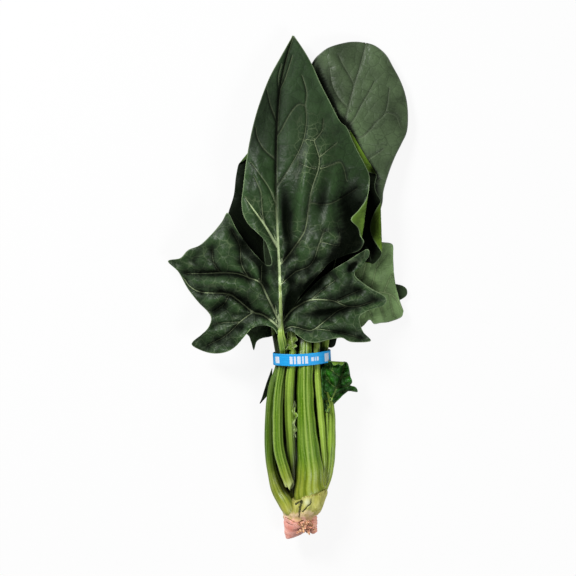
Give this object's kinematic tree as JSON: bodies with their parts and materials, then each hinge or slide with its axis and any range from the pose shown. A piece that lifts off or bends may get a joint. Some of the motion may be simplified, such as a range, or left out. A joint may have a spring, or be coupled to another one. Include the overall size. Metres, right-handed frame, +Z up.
{
  "type": "spinach bunch",
  "caption": "Bunch of fresh spinach lying on its back: dark green lobed leaves on ribbed pale stalks, one root crown, and an elastic band round the stalks.",
  "frame": {"origin": "on the surface that the bunch lies on, under the middle of its bounding box", "axes": "+Z up from that surface, +Y along the bunch from its root to its leaf tips, +X to the right seen from above with the tips away"},
  "size_m": [0.1471, 0.3088, 0.0417],
  "materials": {
    "blade": "satin, dark green, veined",
    "pale_blade": "matt pale green underside, veined",
    "stem": "glossy, moist, ribbed green",
    "crown": "satin, pale yellow green to pink",
    "band": "matt blue with plain white print"
  },
  "bodies": {
    "root": {"bottom_leaf": "blade", "bottom_stem": "stem", "under_left_leaf": "blade", "under_left_stem": "stem", "lower_right_leaf": "blade", "lower_right_stem": "stem", "lower_left_leaf": "blade", "lower_left_stem": "stem", "right_inner_leaf": "blade", "right_inner_stem": "stem", "pale_right_leaf": "pale_blade", "pale_right_stem": "stem", "left_leaf": "blade", "left_stem": "stem", "middle_leaf": "blade", "middle_stem": "stem", "tall_round_leaf": "blade", "tall_round_stem": "stem", "folded_right_leaf": "blade", "folded_right_stem": "stem", "front_leaf": "blade", "front_stem": "stem", "side_leaf": "blade", "side_stem": "stem", "young_leaf": "blade", "young_stem": "stem", "curled_leaf": "blade", "curled_stem": "stem", "left_small_leaf": "blade", "left_small_stem": "stem", "root_crown": "crown", "elastic_band": "band"}
  },
  "joints": []
}
